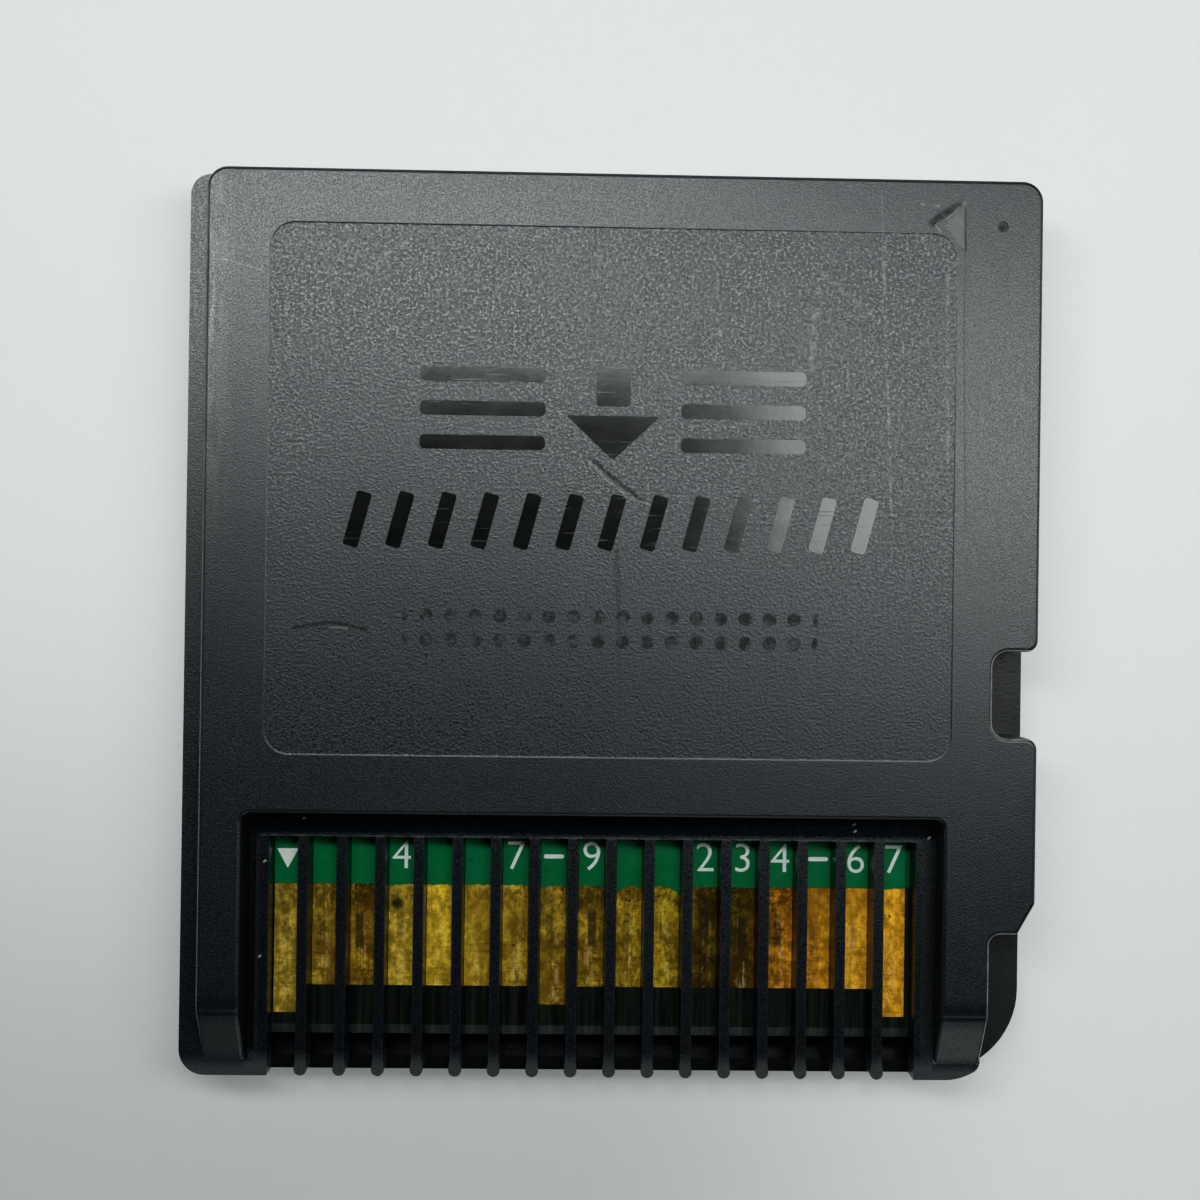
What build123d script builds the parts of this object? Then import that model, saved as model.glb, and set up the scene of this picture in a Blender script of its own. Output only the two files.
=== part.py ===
from build123d import *
import math
import os

os.makedirs("parts", exist_ok=True)

# A small game card, lying on its label face with its contact side up.
# X runs across the card, Y from the contact end to the grip end, Z up from the label face.
# All sizes are in millimetres.

# Stack through the thickness, from the label face up
label_floor = 0.7
board_thickness = 0.8
rom_height = 1.0
rom_headroom = 0.5
rear_skin = 0.8
comb_height = 1.05

# Across the contact end, from the middle of the comb to either side
contact_count = 17
contact_pitch = 1.5
rib_top_width = 0.4
rib_foot_width = 0.48
left_rail = 0.51
left_groove = 0.35
left_leg = 1.65
ledge_width = 0.89
right_window_extra = 0.15
right_rail = 0.78
right_leg = 1.82
side_recess = 1.75

# Along the card, measured from the contact end unless the name says otherwise
card_length = 35.0
end_lip = 0.5
end_trench = 0.83
ramp_foot = 0.62
ramp_run = 2.15
groove_stop = 0.55
groove_depth = 0.6
window_length = 9.3
pocket_floor_band = 1.03
recess_length = 5.95
lead_in_run = 1.2
lead_in_depth = 0.68
notch_start = 13.52
notch_width = 3.33

# Rib tips
tip_radius = 0.25
tip_flare = 0.45
rib_root = 0.4

# Corner radii seen from above
grip_corner = 0.8
contact_corner = 1.0
key_corner = 3.33
leg_slant_run = 0.42
leg_slant_width = 0.9
leg_side_corner = 0.5
leg_end_corner = 2.0
recess_corner = 0.42
lead_in_corner = 0.2
notch_inner_corner = 0.6
notch_outer_corner = 0.45
pocket_corner = 0.35

# Rounded edges
rear_edge_round = 0.16
ramp_blend = 0.8
label_edge_round = 0.25

# Grip panel and gate mark on the contact side, label recess on the other
panel_pocket_gap = 2.27
panel_grip_gap = 2.1
panel_left_gap = 2.45
panel_right_gap = 3.34
panel_corner = 0.95
panel_depth = 0.04
gate_radius = 0.225
gate_depth = 0.06
gate_side_gap = 1.6
gate_grip_gap = 1.8
label_side_gap = 1.6
label_contact_gap = 3.2
label_grip_gap = 5.4
label_corner = 0.9
label_depth = 0.12

# Walls round the board
side_wall = 0.85
grip_wall = 1.0
pocket_wall = 0.85
board_clearance = 0.1
board_corner = 0.4
board_bevel_length = 0.4
board_bevel_drop = 0.2

# Posts that locate the board and key the two shells
post_radius = 0.8
post_notch_gap = 6.65
post_rise = 0.6
post_clearance = 0.05

# Gold contacts
pad_thickness = 0.05
pad_side_gap = 0.01
mask_band = 1.95
pad_setback = 1.97
middle_pad_setback = 1.25
end_pad_setback = 0.87

# Chips and small parts on the board
chip_standoff = 0.1
chip_corner = 0.25
rom_width = 11.0
rom_length = 14.0
rom_side_gap = 1.6
rom_grip_gap = 4.3
rom_lead_count = 16
rom_lead_margin = 1.0
save_width = 4.4
save_length = 3.0
save_height = 0.9
save_gap = 2.2
save_lead_count = 4
save_lead_margin = 0.525
lead_reach = 0.8
lead_shoulder = 0.2
lead_thickness = 0.12
lead_width = 0.28
capacitor_count = 3
resistor_count = 2
small_part_pitch = 2.0
small_part_gap = 1.5
small_part_length = 1.6
small_part_width = 0.8
capacitor_height = 0.8
resistor_height = 0.45
end_cap_length = 0.3
end_cap_proud = 0.03

# Levels
seam_level = label_floor + board_thickness
comb_level = seam_level + comb_height
ceiling_level = seam_level + rom_height + rom_headroom
card_thickness = ceiling_level + rear_skin
plateau_height = card_thickness - comb_level

# Places across the card
rib_spread = (contact_count - 1) * contact_pitch / 2
comb_half = rib_spread + (contact_pitch - rib_top_width) / 2
left_reach = comb_half + left_rail + left_groove + left_leg + ledge_width
right_reach = comb_half + right_window_extra + right_rail + right_leg + side_recess
card_width = left_reach + right_reach
card_left = -card_width / 2
card_right = card_width / 2
contact_x = card_left + left_reach
comb_left = contact_x - comb_half
comb_right = contact_x + comb_half + right_window_extra
groove_right = comb_left - left_rail
pocket_left = groove_right - left_groove
pocket_right = comb_right + right_rail
plateau_left = card_left + ledge_width
key_side = card_right - side_recess
cavity_left = plateau_left + side_wall
cavity_right = key_side - side_wall

# Places along the card
contact_end = -card_length / 2
grip_end = card_length / 2
window_top = contact_end + window_length
pocket_top = window_top + pocket_floor_band
recess_top = contact_end + recess_length
lead_in_top = recess_top + lead_in_run
notch_low = contact_end + notch_start
notch_high = notch_low + notch_width
cavity_low = pocket_top + pocket_wall
cavity_high = grip_end - grip_wall
board_end = contact_end + end_lip + end_trench
board_top = cavity_high - board_clearance
post_y = notch_high + post_notch_gap
post_places = [(cavity_left, post_y), (cavity_right, post_y)]


def middle(low, high):
    return (low + high) / 2


def span_rectangle(left, low, right, high, corner=0):
    """A sketch rectangle between two corners, with rounded corners where a radius is given."""
    with Locations((middle(left, right), middle(low, high))):
        if corner:
            RectangleRounded(right - left, high - low, corner)
        else:
            Rectangle(right - left, high - low)


def rear_outline(level, left, left_contact_corner):
    """Plan of the rear shell: side notch, lead-in and key recess down its right side."""
    corners = [
        ((left, contact_end), left_contact_corner),
        ((key_side - leg_slant_width, contact_end), leg_end_corner),
        ((key_side, contact_end + leg_slant_run), leg_side_corner),
        ((key_side, recess_top), recess_corner),
        ((card_right - lead_in_depth, recess_top), lead_in_corner),
        ((card_right, lead_in_top), lead_in_corner),
        ((card_right, notch_low), notch_outer_corner),
        ((key_side, notch_low), notch_inner_corner),
        ((key_side, notch_high), notch_inner_corner),
        ((card_right, notch_high), notch_outer_corner),
        ((card_right, grip_end), grip_corner),
        ((left, grip_end), grip_corner),
    ]
    with BuildSketch(Plane.XY.offset(level)) as outline:
        with BuildLine():
            FilletPolyline(*[point for point, _ in corners], radius=[r for _, r in corners], close=True)
        make_face()
    return outline.sketch


# Front shell: a shallow tray with the label face below and the board's bed above
with BuildPart() as front_shell:
    with BuildSketch():
        with BuildLine():
            FilletPolyline(
                (card_left, contact_end),
                (card_right, contact_end),
                (card_right, grip_end),
                (card_left, grip_end),
                radius=[contact_corner, key_corner, grip_corner, grip_corner],
                close=True,
            )
        make_face()
    extrude(amount=seam_level)
    fillet(front_shell.faces().sort_by(Axis.Z)[0].edges(), radius=label_edge_round)
    with BuildSketch(Plane.XY.offset(label_floor)):
        span_rectangle(cavity_left, contact_end + end_lip, cavity_right, cavity_high, board_corner)
    extrude(amount=board_thickness, mode=Mode.SUBTRACT)
    with BuildSketch():
        span_rectangle(
            card_left + label_side_gap,
            contact_end + label_contact_gap,
            card_right - label_side_gap,
            grip_end - label_grip_gap,
            label_corner,
        )
    extrude(amount=label_depth, mode=Mode.SUBTRACT)
    with BuildSketch(Plane.XY.offset(label_floor)):
        with Locations(*post_places):
            Circle(post_radius)
    extrude(amount=board_thickness + post_rise)

front_shell.part.label = "front_shell"
export_step(front_shell.part, "parts/front_shell.step")

# Rear shell: the raised, notched back of the card, with the contact comb at its foot
with BuildPart() as rear_shell:
    # Raised back, rooted a little below the level of the comb
    ramp_slope = plateau_height / ramp_run
    ramp_top = contact_end + ramp_foot + ramp_run
    ramp_end_level = comb_level - ramp_foot * ramp_slope
    root_level = middle(ramp_end_level, comb_level)
    extrude(rear_outline(root_level, plateau_left, 0), amount=card_thickness - root_level)

    # Contact pocket, open at the contact end
    with BuildSketch(Plane.XY.offset(root_level)):
        with BuildLine():
            FilletPolyline(
                (pocket_left, contact_end - end_lip),
                (pocket_right, contact_end - end_lip),
                (pocket_right, pocket_top),
                (pocket_left, pocket_top),
                radius=[0, 0, pocket_corner, pocket_corner],
                close=True,
            )
        make_face()
    extrude(amount=card_thickness - root_level, mode=Mode.SUBTRACT)

    # Lead-in ramps on the two legs
    with BuildSketch(Plane.YZ.offset(card_left)):
        with BuildLine():
            Polyline(
                (ramp_top, card_thickness),
                (contact_end, ramp_end_level),
                (contact_end, card_thickness),
                close=True,
            )
        make_face()
    extrude(amount=card_width, mode=Mode.SUBTRACT)

    # Soft edge round the raised back, down to the pocket and along the ramps
    cross_edges = rear_shell.edges().filter_by(Axis.X)
    creases = cross_edges.filter_by_position(Axis.Y, ramp_top - ramp_blend, ramp_top + ramp_blend)
    fillet(creases, radius=ramp_blend)
    cross_edges = rear_shell.edges().filter_by(Axis.X)
    leg_edges = cross_edges.filter_by_position(Axis.Y, contact_end, ramp_top + ramp_blend)
    upright_edges = rear_shell.edges().filter_by(Axis.Z)
    root_edges = rear_shell.edges().group_by(Axis.Z)[0]
    sharp_edges = upright_edges + root_edges + leg_edges
    fillet([edge for edge in rear_shell.edges() if edge not in sharp_edges], radius=rear_edge_round)

    # Root trimmed to the slab below, which leaves a ledge down the left side
    with BuildSketch(Plane.XY.offset(root_level)):
        Rectangle(card_width, card_length)
    extrude(amount=comb_level - root_level, mode=Mode.SUBTRACT)
    extrude(rear_outline(seam_level, card_left, contact_corner), amount=comb_height)

    # Comb: one opening through to the board, then the ribs between the contacts
    with BuildSketch(Plane.XY.offset(seam_level)):
        span_rectangle(comb_left, contact_end - end_lip, comb_right, window_top)
    extrude(amount=comb_height, mode=Mode.SUBTRACT)
    rib_draft = math.degrees(math.atan((rib_foot_width - rib_top_width) / 2 / comb_height))
    rib_count = contact_count - 1
    tip_y = contact_end + tip_radius
    with BuildSketch(Plane.XY.offset(seam_level)):
        with Locations((contact_x, middle(tip_y, window_top + rib_root))):
            with GridLocations(contact_pitch, 0, rib_count, 1):
                Rectangle(rib_foot_width, window_top + rib_root - tip_y)
    extrude(amount=comb_height, taper=rib_draft)
    with BuildSketch(Plane.XY.offset(seam_level)):
        with Locations((contact_x, tip_y)):
            with GridLocations(contact_pitch, 0, rib_count, 1):
                Circle(tip_radius)
                Polygon(
                    (-tip_radius, 0),
                    (tip_radius, 0),
                    (rib_top_width / 2, tip_flare),
                    (-rib_top_width / 2, tip_flare),
                    align=None,
                )
    extrude(amount=comb_height)

    # Groove beside the left rail
    with BuildSketch(Plane.XY.offset(comb_level - groove_depth)):
        span_rectangle(pocket_left, contact_end + groove_stop, groove_right, pocket_top - pocket_corner)
    extrude(amount=groove_depth, mode=Mode.SUBTRACT)

    # Room over the board for the chips
    with BuildSketch(Plane.XY.offset(seam_level)):
        span_rectangle(cavity_left, cavity_low, cavity_right, cavity_high, board_corner)
    extrude(amount=ceiling_level - seam_level, mode=Mode.SUBTRACT)

    # Sockets for the posts
    with BuildSketch(Plane.XY.offset(seam_level)):
        with Locations(*post_places):
            Circle(post_radius + post_clearance)
    extrude(amount=post_rise + post_clearance, mode=Mode.SUBTRACT)

    # Grip panel and gate mark
    with BuildSketch(Plane.XY.offset(card_thickness)):
        span_rectangle(
            plateau_left + panel_left_gap,
            pocket_top + panel_pocket_gap,
            card_right - panel_right_gap,
            grip_end - panel_grip_gap,
            panel_corner,
        )
    extrude(amount=-panel_depth, mode=Mode.SUBTRACT)
    with BuildSketch(Plane.XY.offset(card_thickness)):
        with Locations((card_right - gate_side_gap, grip_end - gate_grip_gap)):
            Circle(gate_radius)
    extrude(amount=-gate_depth, mode=Mode.SUBTRACT)

rear_shell.part.label = "rear_shell"
export_step(rear_shell.part, "parts/rear_shell.step")

# Circuit board: bevelled contact edge, half-round side notches for the posts
with BuildPart() as circuit_board:
    with BuildSketch(Plane.XY.offset(label_floor)):
        span_rectangle(
            cavity_left + board_clearance,
            board_end,
            cavity_right - board_clearance,
            board_top,
            board_corner,
        )
        with Locations(*post_places):
            Circle(post_radius + board_clearance, mode=Mode.SUBTRACT)
    extrude(amount=board_thickness)
    with BuildSketch(Plane.YZ.offset(card_left)):
        with BuildLine():
            Polyline(
                (board_end + board_bevel_length, seam_level),
                (board_end, seam_level - board_bevel_drop),
                (board_end - end_trench, seam_level - board_bevel_drop),
                (board_end - end_trench, seam_level),
                close=True,
            )
        make_face()
    extrude(amount=card_width, mode=Mode.SUBTRACT)

circuit_board.part.label = "circuit_board"
export_step(circuit_board.part, "parts/circuit_board.step")

# Gold contacts, one for each window of the comb
pad_width = contact_pitch - rib_foot_width - 2 * pad_side_gap
for pad in range(1, contact_count + 1):
    setback = pad_setback
    if pad in (1, contact_count):
        setback = end_pad_setback
    elif pad == contact_count // 2:
        setback = middle_pad_setback
    pad_x = contact_x - rib_spread + (pad - 1) * contact_pitch
    with BuildPart() as contact_pad:
        with BuildSketch(Plane.XY.offset(seam_level)):
            span_rectangle(
                pad_x - pad_width / 2,
                board_end + setback,
                pad_x + pad_width / 2,
                window_top - mask_band,
            )
        extrude(amount=pad_thickness)
    contact_pad.part.label = f"contact_pad_{pad:02d}"
    export_step(contact_pad.part, f"parts/{contact_pad.part.label}.step")


def chip_body(x, y, width, length, height):
    """Moulded chip package, held off the board by its leads."""
    with BuildPart() as body:
        with BuildSketch(Plane.XY.offset(seam_level + chip_standoff)):
            with Locations((x, y)):
                Rectangle(width, length)
        extrude(amount=height - chip_standoff)
        chamfer(body.faces().sort_by(Axis.Z)[-1].edges(), length=chip_corner)
    return body.part


def chip_leads(x, y, width, length, height, count, margin):
    """Two rows of gull-wing leads, from the sides of the package down to the board."""
    pitch = (length - 2 * margin) / (count - 1)
    shoulder_level = middle(chip_standoff, height) - lead_thickness / 2
    with BuildPart() as leads:
        for side in (-1, 1):
            for lead in range(count):
                lead_y = y + (lead - (count - 1) / 2) * pitch
                start = Plane(
                    origin=(x + side * width / 2, lead_y, seam_level),
                    x_dir=(side, 0, 0),
                    z_dir=(0, -side, 0),
                )
                with BuildSketch(start):
                    with BuildLine():
                        Polyline(
                            (0, shoulder_level),
                            (lead_shoulder, shoulder_level),
                            (lead_shoulder, 0),
                            (lead_reach, 0),
                            (lead_reach, lead_thickness),
                            (lead_shoulder + lead_thickness, lead_thickness),
                            (lead_shoulder + lead_thickness, shoulder_level + lead_thickness),
                            (0, shoulder_level + lead_thickness),
                            close=True,
                        )
                    make_face()
                extrude(amount=lead_width / 2, both=True)
    return leads.part


def small_part(x, y, height):
    """Chip capacitor or resistor with its two plated ends a little proud of the body."""
    with BuildPart() as part:
        with BuildSketch(Plane.XY.offset(seam_level)):
            with Locations((x, y)):
                Rectangle(small_part_length - 2 * end_cap_length, small_part_width - 2 * end_cap_proud)
        extrude(amount=height - end_cap_proud)
        with BuildSketch(Plane.XY.offset(seam_level)):
            with Locations((x, y)):
                with GridLocations(small_part_length - end_cap_length, 0, 2, 1):
                    Rectangle(end_cap_length, small_part_width)
        extrude(amount=height)
    return part.part


# Chips: the program memory at the left, the save memory at the right
rom_x = cavity_left + board_clearance + rom_side_gap + lead_reach + rom_width / 2
rom_y = board_top - rom_grip_gap - rom_length / 2
save_x = rom_x + rom_width / 2 + lead_reach + save_gap + lead_reach + save_width / 2
save_y = rom_y + rom_length / 2 - save_length / 2
board_parts = {
    "rom_chip": chip_body(rom_x, rom_y, rom_width, rom_length, rom_height),
    "rom_leads": chip_leads(
        rom_x, rom_y, rom_width, rom_length, rom_height, rom_lead_count, rom_lead_margin
    ),
    "save_chip": chip_body(save_x, save_y, save_width, save_length, save_height),
    "save_leads": chip_leads(
        save_x, save_y, save_width, save_length, save_height, save_lead_count, save_lead_margin
    ),
}

# Small parts in a column below the save memory
column_top = save_y - save_length / 2 - small_part_gap
for place in range(capacitor_count):
    part_y = column_top - place * small_part_pitch
    board_parts[f"capacitor_{place + 1}"] = small_part(save_x, part_y, capacitor_height)
for place in range(resistor_count):
    part_y = column_top - (capacitor_count + place) * small_part_pitch
    board_parts[f"resistor_{place + 1}"] = small_part(save_x, part_y, resistor_height)

for name, solid in board_parts.items():
    solid.label = name
    export_step(solid, f"parts/{name}.step")
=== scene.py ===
import math

import bpy
from mathutils import Matrix, Vector


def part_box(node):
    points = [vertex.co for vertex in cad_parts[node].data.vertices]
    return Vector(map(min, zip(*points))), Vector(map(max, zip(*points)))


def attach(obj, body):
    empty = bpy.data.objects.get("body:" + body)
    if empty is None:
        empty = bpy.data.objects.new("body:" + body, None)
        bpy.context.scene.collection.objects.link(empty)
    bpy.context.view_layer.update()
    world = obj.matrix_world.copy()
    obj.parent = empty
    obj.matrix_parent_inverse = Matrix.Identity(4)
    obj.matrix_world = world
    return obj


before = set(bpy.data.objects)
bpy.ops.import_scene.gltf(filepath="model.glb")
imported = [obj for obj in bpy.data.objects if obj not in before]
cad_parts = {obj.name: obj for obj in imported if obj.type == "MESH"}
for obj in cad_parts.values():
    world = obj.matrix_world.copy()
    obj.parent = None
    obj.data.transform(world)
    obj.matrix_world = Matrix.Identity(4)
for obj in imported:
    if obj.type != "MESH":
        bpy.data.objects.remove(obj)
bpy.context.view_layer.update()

# Front shell: the label-side half of the case, a shallow tray of black moulded plastic.
# Fine spark-eroded grain all over; the board lies in it and the other half is welded on at the seam. Shade
# is painted black inside the tray below the seam, deep in the trench before the board's edge.
SEAM, SEAM_FADE, SEAM_DARK = 1.5, 0.035, 0.012
LABEL_SIDE, LABEL_LOW, LABEL_HIGH, LABEL_CORNER = 14.9, -14.3, 12.1, 0.9
TRAY_SIDE, TRAY_END, TRAY_FLOOR = 15.4, -17.1, 0.4
KEY_SIDE, KEY_HIGH = 14.5, -11.5
PLASTIC_DARK, PLASTIC_LIGHT = (0.0036, 0.0072, 0.0118, 1), (0.0066, 0.0104, 0.0155, 1)
PLASTIC_SHEEN = (0.98, 0.98, 0.985, 1)
LABEL_BED_GREY, KEY_FLANGE_GREY = (0.020, 0.021, 0.022, 1), (0.125, 0.140, 0.150, 1)
# Black for the seam's dark joint and for the painted shade inside the tray.
SEAM_AND_SHADE_BLACK = (0.001, 0.001, 0.001, 1)


class Wire:
    """One output of a material's nodes. Arithmetic on it adds Math nodes."""

    def __init__(self, socket):
        self.socket = socket

    def node(self, kind, sockets, settings=None, output=0):
        """Adds any node: its settings first, then a value or a wire for each of its sockets."""
        node = self.socket.id_data.nodes.new(kind)
        for name, value in (settings or {}).items():
            if name == "stops":
                elements = node.color_ramp.elements
                elements[0].position, elements[0].color = value[0]
                elements[1].position, elements[1].color = value[-1]
                for position, colour in value[1:-1]:
                    elements.new(position).color = colour
            else:
                setattr(node, name, value)
        fill(node, sockets)
        return Wire(node.outputs[output])

    def math(self, operation, *values):
        return self.node("ShaderNodeMath", dict(enumerate(values)), {"operation": operation})

    def __add__(self, other):
        return self.math("ADD", self, other)

    def __sub__(self, other):
        return self.math("SUBTRACT", self, other)

    def __rsub__(self, other):
        return self.math("SUBTRACT", other, self)

    def __mul__(self, other):
        return self.math("MULTIPLY", self, other)

    def __truediv__(self, other):
        return self.math("DIVIDE", self, other)

    def __abs__(self):
        return self.math("ABSOLUTE", self)

    __radd__ = __add__
    __rmul__ = __mul__


def fill(node, sockets):
    """Puts a value or a wire into each named socket of a node."""
    for key, value in sockets.items():
        if isinstance(value, Wire):
            node.id_data.links.new(value.socket, node.inputs[key])
        else:
            node.inputs[key].default_value = value


def finish(name):
    """A new material, and the place on the card in millimetres with its three parts."""
    material = bpy.data.materials.new(name)
    material.use_nodes = True
    metres = Wire(material.node_tree.nodes.new("ShaderNodeTexCoord").outputs["Object"])
    place = metres.node("ShaderNodeVectorMath", {0: metres, "Scale": 1000.0}, {"operation": "SCALE"})
    parts = [place.node("ShaderNodeSeparateXYZ", {0: place}, output=axis) for axis in range(3)]
    return material, place, *parts


def coat(material, sockets, height=None):
    """Sets the material's shader; height is its relief in millimetres."""
    if height is not None:
        bump = height.node("ShaderNodeBump", {"Height": height, "Distance": 0.001, "Strength": 1.0})
        sockets = {**sockets, "Normal": bump}
    fill(material.node_tree.nodes["Principled BSDF"], sockets)


def dress(material, *names):
    """Gives CAD nodes their material."""
    for name in names:
        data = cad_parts[name].data
        data.materials.clear()
        data.materials.append(material)


def noise(place, scale, detail=2.0, roughness=0.5):
    return place.node(
        "ShaderNodeTexNoise", {"Vector": place, "Scale": scale, "Detail": detail, "Roughness": roughness}
    )


def stretch(place, scale, turn=0.0):
    """The place, stretched and turned about Z, for a pattern with a grain direction."""
    return place.node("ShaderNodeMapping", {"Vector": place, "Rotation": (0, 0, turn), "Scale": scale})


def ease(wire, low, high):
    """0 to 1 as a value goes from low to high, with soft ends."""
    return wire.node("ShaderNodeMapRange", {0: wire, 1: low, 2: high}, {"interpolation_type": "SMOOTHSTEP"})


def tint(amount, under, over):
    """One colour laid over another by an amount."""
    return amount.node("ShaderNodeMix", {0: amount, 6: under, 7: over}, {"data_type": "RGBA"}, output=2)


def larger(first, *others):
    """The largest of several values."""
    for other in others:
        first = first.math("MAXIMUM", first, other)
    return first


def rounded_box(x, y, left, low, right, high, corner):
    """Distance to a rectangle with rounded corners, below zero inside it."""
    across = abs(x - (left + right) / 2) - ((right - left) / 2 - corner)
    along = abs(y - (low + high) / 2) - ((high - low) / 2 - corner)
    out_across = larger(across, 0.0)
    out_along = larger(along, 0.0)
    outside = out_across * out_across + out_along * out_along
    inside = larger(across, along).math("MINIMUM", larger(across, along), 0.0)
    return outside.math("SQRT", outside) + inside - corner


material, place, x, y, z = finish("label_side_plastic")
grain = noise(place, 8.0, 1.0) - 0.5
patches = noise(place, 0.35, 2.0)
label_edge = rounded_box(x, y, -LABEL_SIDE, LABEL_LOW, LABEL_SIDE, LABEL_HIGH, LABEL_CORNER)
label_bed = ease(label_edge, 0.05, -0.05) * ease(z, 0.3, 0.2)
seam = ease(abs(z - SEAM), SEAM_FADE, SEAM_DARK)
# Painted shade: the inside of the tray below the seam, where shade falls deep in the trench.
inside = ease(y, TRAY_END - 0.1, TRAY_END + 0.1) * ease(abs(x), TRAY_SIDE + 0.2, TRAY_SIDE - 0.2)
inside = inside * ease(z, SEAM - 0.02, SEAM - 0.10) * ease(z, TRAY_FLOOR - 0.1, TRAY_FLOOR + 0.1)
# The flange in the key recess, just under the seam, is coloured a paler grey.
key_flange_pale = ease(y, KEY_HIGH + 1.0, KEY_HIGH - 1.0) * ease(x, KEY_SIDE - 0.3, KEY_SIDE + 0.3)
key_flange_pale = key_flange_pale * ease(z, SEAM - 0.10, SEAM - 0.02)
colour = tint(patches, PLASTIC_DARK, PLASTIC_LIGHT)
colour = tint(label_bed * 0.4, colour, LABEL_BED_GREY)
colour = tint(key_flange_pale, colour, KEY_FLANGE_GREY)
# The seam's dark joint, and the painted shade inside the tray.
colour = tint(larger(seam * 0.8, inside), colour, SEAM_AND_SHADE_BLACK)
coat(
    material,
    {
        "Base Color": colour,
        "Roughness": 0.37 + patches * 0.06 + grain * 0.20 - label_bed * 0.06 - inside * 0.10,
        "Specular IOR Level": 0.58,
        "Specular Tint": PLASTIC_SHEEN,
    },
    grain * 0.006,
)
dress(material, "front_shell")

# Circuit board: glass-fibre laminate with green solder mask, bare below the contacts where the edge goes
# into the slot. Its contact edge is bevelled, and it drops over the two posts of the front shell.
CONTACT_MID, CONTACT_PITCH, CONTACT_COUNT = -0.55, 1.5, 17
CONTACT_TOP = -10.15
BOARD_TOP, BOARD_FOOT = 1.5, 0.7
BEVEL_TOP = -15.77
GREEN_DARK, GREEN_LIGHT = (0.0, 0.110, 0.034, 1), (0.002, 0.165, 0.058, 1)
BARE_DARK, BARE_LIGHT = (0.0030, 0.0045, 0.0030, 1), (0.026, 0.034, 0.024, 1)
WEAVE_LIGHT = (0.024, 0.030, 0.022, 1)
FIBRE_DARK, FIBRE_LIGHT = (0.07, 0.08, 0.045, 1), (0.15, 0.16, 0.10, 1)
BEVEL_DARK, BEVEL_LIGHT = (0.012, 0.021, 0.016, 1), (0.046, 0.068, 0.056, 1)
material, place, x, y, z = finish("board_laminate")
mask_cloud = noise(place, 1.1, 3.0, 0.6)
weave = noise(stretch(place, (9.0, 1.0, 1.0)), 1.0, 1.0)
weave = weave + noise(stretch(place, (1.0, 9.0, 1.0)), 1.0, 1.0)
streaks = noise(stretch(place, (7.0, 0.25, 1.0)), 1.0, 2.0, 0.6)
masked = ease(y, CONTACT_TOP - 0.02, CONTACT_TOP + 0.02)
upper_face = ease(z, BOARD_TOP - 0.06, BOARD_TOP - 0.03)
faces = larger(upper_face, ease(z, BOARD_FOOT + 0.06, BOARD_FOOT + 0.03))
bevel = ease(y, BEVEL_TOP + 0.03, BEVEL_TOP - 0.03)
bevel = bevel * ease(z, BOARD_FOOT + 0.15, BOARD_FOOT + 0.35)
mask_green = tint(mask_cloud, GREEN_DARK, GREEN_LIGHT)
bare = tint(ease(streaks, 0.3, 0.7), BARE_DARK, BARE_LIGHT)
bare = tint(ease(weave, 1.05, 1.25) * 0.4, bare, WEAVE_LIGHT)
edge_fibre = tint(noise(stretch(place, (1.0, 1.0, 14.0)), 1.0, 1.0), FIBRE_DARK, FIBRE_LIGHT)
colour = tint(faces, edge_fibre, tint(masked, bare, mask_green))
colour = tint(bevel, colour, tint(ease(streaks, 0.3, 0.7), BEVEL_DARK, BEVEL_LIGHT))
coat(
    material,
    {
        "Base Color": colour,
        "Roughness": 0.34 - masked * 0.08 + mask_cloud * 0.08,
        "Specular IOR Level": 0.35,
    },
    weave * 0.004 + mask_cloud * 0.008,
)
dress(material, "circuit_board")

# Program memory and save memory: chips in moulded black resin, soldered to the contact side of the board.
# Tinned gull-wing leads stand on the board down both long sides of each package.
RESIN_DARK, RESIN_LIGHT = (0.012, 0.012, 0.012, 1), (0.030, 0.030, 0.031, 1)
TIN_DARK, TIN_LIGHT = (0.52, 0.52, 0.50, 1), (0.76, 0.76, 0.74, 1)
material, place, x, y, z = finish("chip_resin")
pits = noise(place, 9.0, 4.0, 0.65)
colour = tint(pits, RESIN_DARK, RESIN_LIGHT)
coat(material, {"Base Color": colour, "Roughness": 0.55 + pits * 0.2}, pits * 0.02)
dress(material, "rom_chip", "save_chip")
material, place, x, y, z = finish("tinned_leads")
drawn = noise(stretch(place, (1.0, 12.0, 3.0)), 1.0, 3.0)
colour = tint(drawn, TIN_DARK, TIN_LIGHT)
coat(
    material,
    {"Base Color": colour, "Roughness": 0.28 + drawn * 0.25, "Metallic": 1.0},
    drawn * 0.006,
)
dress(material, "rom_leads", "save_leads")

# Small parts: ceramic capacitors and glazed resistors with tinned ends, soldered in a column beside the
# program memory. They are sealed in, and only their bodies' colours tell them apart.
END_FADE, END_LENGTH = 0.34, 0.28
END_DARK, END_LIGHT = (0.6, 0.6, 0.58, 1), (0.75, 0.75, 0.73, 1)
for kind, count, body_dark, body_light in (
    ("capacitor", 3, (0.20, 0.13, 0.075, 1), (0.30, 0.20, 0.12, 1)),
    ("resistor", 2, (0.010, 0.010, 0.014, 1), (0.028, 0.028, 0.034, 1)),
):
    low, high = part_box(f"{kind}_1")
    middle, half = 500 * (low.x + high.x), 500 * (high.x - low.x)
    material, place, x, y, z = finish(f"{kind}_ceramic")
    speckle = noise(place, 7.0, 3.0)
    plated = ease(abs(x - middle), half - END_FADE, half - END_LENGTH)
    body = tint(speckle, body_dark, body_light)
    colour = tint(plated, body, tint(speckle, END_DARK, END_LIGHT))
    coat(
        material,
        {"Base Color": colour, "Roughness": 0.4 + speckle * 0.2 - plated * 0.1, "Metallic": plated},
        speckle * 0.012,
    )
    dress(material, *[f"{kind}_{number}" for number in range(1, count + 1)])

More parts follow.
